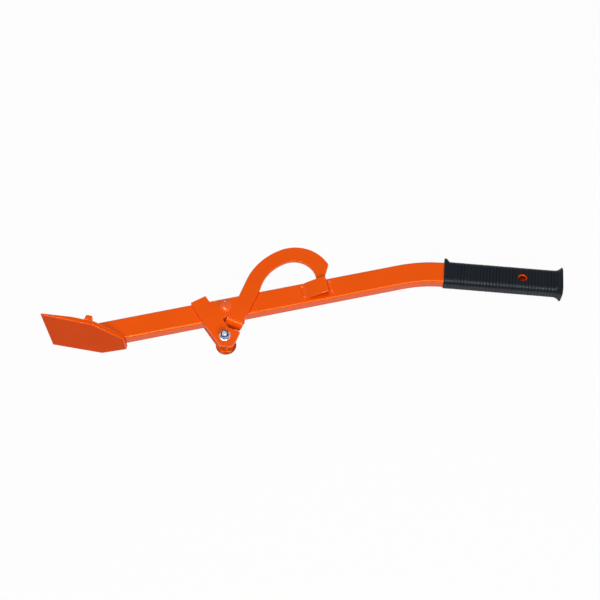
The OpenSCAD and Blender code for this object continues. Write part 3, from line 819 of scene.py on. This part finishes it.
class FELLINGLEVER_OT_tube(bpy.types.Operator):
    """Paints the tube and plates the bush welded through it"""

    bl_idname = "felling_lever.tube"
    bl_label = "Tube and bush"

    def execute(self, context):
        coat_node("lever_tube", FINISHES["paint"])
        coat_node("pivot_bush", FINISHES["zinc"])
        return {"FINISHED"}


class FELLINGLEVER_OT_blade(bpy.types.Operator):
    """Rounds and paints the blade and its teeth"""

    bl_idname = "felling_lever.blade"
    bl_label = "Blade and teeth"

    def execute(self, context):
        sizes = context.scene.felling_lever_sizes
        paint = FINISHES["paint"]
        for name, node, radius, broad in (
                ("Blade", "blade", sizes.blade_edge, FINISHES["satin"]),
                ("Blade_teeth", "blade_teeth", sizes.plate_edge, paint)):
            piece = softened(name, node, radius, broad, 25, FINISHES["edge"])
            place_piece(piece, "lever", "orange_paint", node)
        return {"FINISHED"}


class FELLINGLEVER_OT_welds(bpy.types.Operator):
    """Lays the rippled bead round the tube's foot and the spots on the guard's feet"""

    bl_idname = "felling_lever.welds"
    bl_label = "Welds"

    def execute(self, context):
        sizes = context.scene.felling_lever_sizes
        mid, half = (SEAM_REAR + SEAM_FRONT) / 2, (SEAM_FRONT - SEAM_REAR) / 2
        seam = bmesh.new()
        points = [seam.verts.new(BLADE_FRAME @ Vector((mid + x, SEAM_Y, z)))
                  for _, x, z in section(0, half, half, TUBE_HALF_T, SEAM_CORNER)]
        for here, there in zip(points, points[1:] + points[:1]):
            seam.edges.new((here, there))
        mesh = bpy.data.meshes.new("Seam")
        seam.to_mesh(mesh)
        seam.free()
        bead = grow("Blade_weld_bead", mesh, bead_tree(), {
            "Radius": sizes.bead_radius, "Pitch": sizes.bead_pitch, "Ripple": BEAD_RIPPLE},
            FINISHES["paint"])
        place_piece(bead, "lever", "orange_paint", "blade_weld")

        spots = bmesh.new()
        low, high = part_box("guard_welds")
        for x in (low[0] + SPOT_R * MM, high[0] - SPOT_R * MM):
            for y in (low[1] + SPOT_R * MM, high[1] - SPOT_R * MM):
                spots.verts.new((x, y, low[2]))
        mesh = bpy.data.meshes.new("Spots")
        spots.to_mesh(mesh)
        spots.free()
        welds = grow("Guard_weld_spots", mesh, spot_tree(), {
            "Radius": SPOT_R * MM, "Rise": SPOT_H * MM}, FINISHES["edge"])
        place_piece(welds, "lever", "orange_paint", "guard_welds")
        return {"FINISHED"}


class FELLINGLEVER_OT_guard(bpy.types.Operator):
    """Rounds and paints the bent strip over the hook's point"""

    bl_idname = "felling_lever.guard"
    bl_label = "Point guard"

    def execute(self, context):
        edge = context.scene.felling_lever_sizes.guard_edge
        piece = softened("Point_guard", "point_guard", edge, FINISHES["paint"], 30,
                         FINISHES["edge"])
        place_piece(piece, "lever", "orange_paint", "point_guard")
        return {"FINISHED"}


class FELLINGLEVER_OT_grip(bpy.types.Operator):
    """Moulds the ribbed grip with its thumb stop, flared end and hanging hole"""

    bl_idname = "felling_lever.grip"
    bl_label = "Grip"

    def execute(self, context):
        sizes = context.scene.felling_lever_sizes
        turn = GRIP_FRAME.to_3x3() @ Vector((1, 0, 0))
        piece = grow("Ribbed_grip", lofted(grip_rings(), GRIP_FRAME), rib_tree(), {
            "Start": GRIP_FRAME.translation, "Along": turn.normalized(),
            "First": (GRIP_START + STOP_LEN) * MM, "Last": (GRIP_END - FLARE_LEN + 2) * MM,
            "Fade": RIB_FADE * MM, "Pitch": sizes.rib_pitch, "Height": sizes.rib_height},
            FINISHES["grip"])
        reach = GRIP_HALF_T + CUT_OVER
        depth = reach - CUT_OVER - HANG_LIP
        outline = [(0, -reach), (HANG_R + HANG_LIP, -reach), (HANG_R, -depth), (HANG_R, depth),
                   (HANG_R + HANG_LIP, reach), (0, reach)]
        place = GRIP_FRAME @ Matrix.Translation((GRIP_END - HANG_TO_END, 0, 0))
        hole = turned(outline, place, 64)
        cut(piece, hole)
        piece.data.set_sharp_from_angle(angle=radians(50))
        place_piece(piece, "lever", "black_grip", "grip")
        return {"FINISHED"}


class FELLINGLEVER_OT_hook(bpy.types.Operator):
    """Rounds and paints the hook plate and the cheek behind the tube"""

    bl_idname = "felling_lever.hook"
    bl_label = "Hook and cheek"

    def execute(self, context):
        edge = context.scene.felling_lever_sizes.plate_edge
        for name, node in (("Hook_plate", "hook_plate"), ("Rear_cheek", "rear_cheek")):
            piece = softened(name, node, edge, FINISHES["paint"], 40, FINISHES["edge"])
            place_piece(piece, "hook", "orange_paint", node)
        coat_node("pivot_rivet", FINISHES["edge"])
        return {"FINISHED"}


class FELLINGLEVER_OT_fasteners(bpy.types.Operator):
    """Makes the lug bolt with its thread, the lock nut, its ring, the washers and the spacer"""

    bl_idname = "felling_lever.fasteners"
    bl_label = "Bolt and nut"

    def execute(self, context):
        sizes = context.scene.felling_lever_sizes
        zinc = FINISHES["zinc"]
        seat = PLATE_TOP + WASHER_T
        head = hexagon("Bolt_head", -seat - HEAD_H, HEAD_H, True, False, zinc, zinc)
        place_piece(head, "hook", "zinc_plated_steel")
        length = seat + NUT_H + COLLAR_H + BOLT_OUT - THREAD_FROM
        core = [(0, -seat - THREAD_FROM), (BOLT_R, -seat - THREAD_FROM), (BOLT_R, 0),
                (BOLT_CORE_R, 0.8), (BOLT_CORE_R, length - 0.7), (BOLT_CORE_R - 0.7, length),
                (0, length)]
        place = LUG_FRAME @ Matrix.Translation((0, 0, THREAD_FROM))
        shank = grow("Bolt_shank", turned(core, Matrix.Identity(4), 48), thread_tree(), {
            "Radius": BOLT_CORE_R + 0.05, "Ridge": THREAD_RIDGE, "Pitch": sizes.thread_pitch / MM,
            "Length": length - 0.9}, zinc, place)
        shank.data.set_sharp_from_angle(angle=radians(SHARP_ANGLE))
        place_piece(shank, "hook", "zinc_plated_steel", "lug_bolt")

        # The flats take the darker zinc of painted shade, the turned corners plain zinc
        nut = hexagon("Lock_nut", seat, NUT_H, True, True, FINISHES["nut"], zinc)
        top = seat + NUT_H
        sunk = top - CUT_OVER
        collar = [(INSERT_R, sunk), (COLLAR_R, sunk), (COLLAR_R, top + 1.7),
                  (COLLAR_R - 0.2, top + 2.1), (COLLAR_R - 0.6, top + 2.4),
                  (INSERT_R - 0.1, top + COLLAR_H), (INSERT_R - 0.3, top + 2.35),
                  (INSERT_R - 0.3, top + 2.0), (INSERT_R, top + 1.85)]
        cut(nut, turned(collar, LUG_FRAME, 96), "UNION")
        under, over = seat - CUT_OVER, top + CUT_OVER
        bore = [(0, under), (BOLT_R + 0.6, under), (BOLT_R, seat + 0.6), (BOLT_R, over),
                (0, over)]
        cut(nut, turned(bore, LUG_FRAME, 64))
        nut.data.set_sharp_from_angle(angle=radians(25))
        place_piece(nut, "hook", "zinc_plated_steel", "lock_nut")

        ring = [(BOLT_R, top), (INSERT_R, top), (INSERT_R, top + 1.7), (BOLT_R + 0.3, top + 1.7),
                (BOLT_R + 0.1, top + 1.6), (BOLT_R, top + 1.4)]
        insert = show("Locking_ring", turned(ring, LUG_FRAME, 64), FINISHES["insert"])
        place_piece(insert, "hook", "nylon_insert", "nut_insert")

        hole = BOLT_R + BOLT_PLAY
        below = turned(ring_outline(hole, WIDE_WASHER_R, -seat, -PLATE_TOP, 0.5), LUG_FRAME, 128)
        # Painted shade: the washer takes a darker coat for the shade under the plates
        washer = show("Bolt_washer", below, FINISHES["shaded_washer"])
        place_piece(washer, "hook", "orange_paint", "bolt_washer")
        above = turned(ring_outline(hole, WASHER_R, PLATE_TOP, seat, 0.3), LUG_FRAME, 96)
        washer = show("Nut_washer", above, zinc)
        place_piece(washer, "hook", "zinc_plated_steel", "nut_washer")
        reach = TUBE_HALF_T + PLATE_GAP
        spacer = show("Lug_spacer", turned(ring_outline(hole, SPACER_R, -reach, reach, 0.4),
                                           LUG_FRAME, 96), zinc)
        place_piece(spacer, "hook", "zinc_plated_steel", "lug_spacer")
        return {"FINISHED"}


class FELLINGLEVER_OT_stage(bpy.types.Operator):
    """Sets the floor, the room light, the lamps and the camera"""

    bl_idname = "felling_lever.stage"
    bl_label = "Stage"

    def execute(self, context):
        stage = context.scene.felling_lever_stage
        context.scene.view_settings.view_transform = "Standard"
        aim = Vector(CAMERA_AIM)

        bm = bmesh.new()
        bmesh.ops.create_grid(bm, x_segments=1, y_segments=1, size=FLOOR_HALF)
        floor = show("Floor", mesh_of(bm, Matrix.Translation((0, 0, FLOOR_Z))), floor_finish())
        context.scene.world = room_light(stage.sky)

        lamps = (("Key lamp", KEY_PLACE, stage.key, KEY_SIZE),
                 ("Front lamp", FRONT_PLACE, stage.front, FRONT_SIZE),
                 ("Rim lamp", RIM_PLACE, stage.rim, RIM_SIZE))
        for name, place, power, (width, depth) in lamps:
            light = bpy.data.lights.new(name, "AREA")
            light.energy = power
            light.shape = "RECTANGLE"
            light.size = width
            light.size_y = depth
            lamp = bpy.data.objects.new(name, light)
            lamp.location = place
            lamp.rotation_euler = (aim - Vector(place)).to_track_quat("-Z", "Y").to_euler()
            context.scene.collection.objects.link(lamp)

        lens = bpy.data.cameras.new("Camera")
        lens.sensor_width = 36.0
        lens.lens = stage.lens
        camera = bpy.data.objects.new("Camera", lens)
        back = Vector((sin(stage.azimuth) * cos(stage.elevation),
                       -cos(stage.azimuth) * cos(stage.elevation), sin(stage.elevation)))
        camera.location = aim + back * stage.distance
        camera.rotation_euler = back.to_track_quat("Z", "Y").to_euler()
        context.scene.collection.objects.link(camera)
        context.scene.camera = camera
        return {"FINISHED"}


STEPS = (
    FELLINGLEVER_OT_finishes,
    FELLINGLEVER_OT_stage,
    FELLINGLEVER_OT_tube,
    FELLINGLEVER_OT_blade,
    FELLINGLEVER_OT_welds,
    FELLINGLEVER_OT_guard,
    FELLINGLEVER_OT_grip,
    FELLINGLEVER_OT_hook,
    FELLINGLEVER_OT_fasteners,
)


class FELLINGLEVER_PT_panel(bpy.types.Panel):
    """Lists the steps that dress the felling lever"""

    bl_idname = "FELLINGLEVER_PT_panel"
    bl_label = "Felling Lever"
    bl_space_type = "VIEW_3D"
    bl_region_type = "UI"
    bl_category = "Felling Lever"

    def draw(self, context):
        layout = self.layout
        for step in STEPS:
            layout.operator(step.bl_idname)
        for group in (context.scene.felling_lever_sizes, context.scene.felling_lever_colours,
                      context.scene.felling_lever_stage):
            column = layout.column(align=True)
            for name in group.__annotations__:
                column.prop(group, name)


GROUPS = {
    "felling_lever_sizes": FellingLeverSizes,
    "felling_lever_colours": FellingLeverColours,
    "felling_lever_stage": FellingLeverStage,
}
CLASSES = (*GROUPS.values(), *STEPS, FELLINGLEVER_PT_panel)


def register():
    for cls in CLASSES:
        bpy.utils.register_class(cls)
    for name, group in GROUPS.items():
        setattr(bpy.types.Scene, name, PointerProperty(type=group))


def unregister():
    for name in GROUPS:
        delattr(bpy.types.Scene, name)
    for cls in reversed(CLASSES):
        bpy.utils.unregister_class(cls)


def main():
    register()
    for step in STEPS:
        group, name = step.bl_idname.split(".")
        getattr(getattr(bpy.ops, group), name)()


if __name__ == "__main__":
    main()
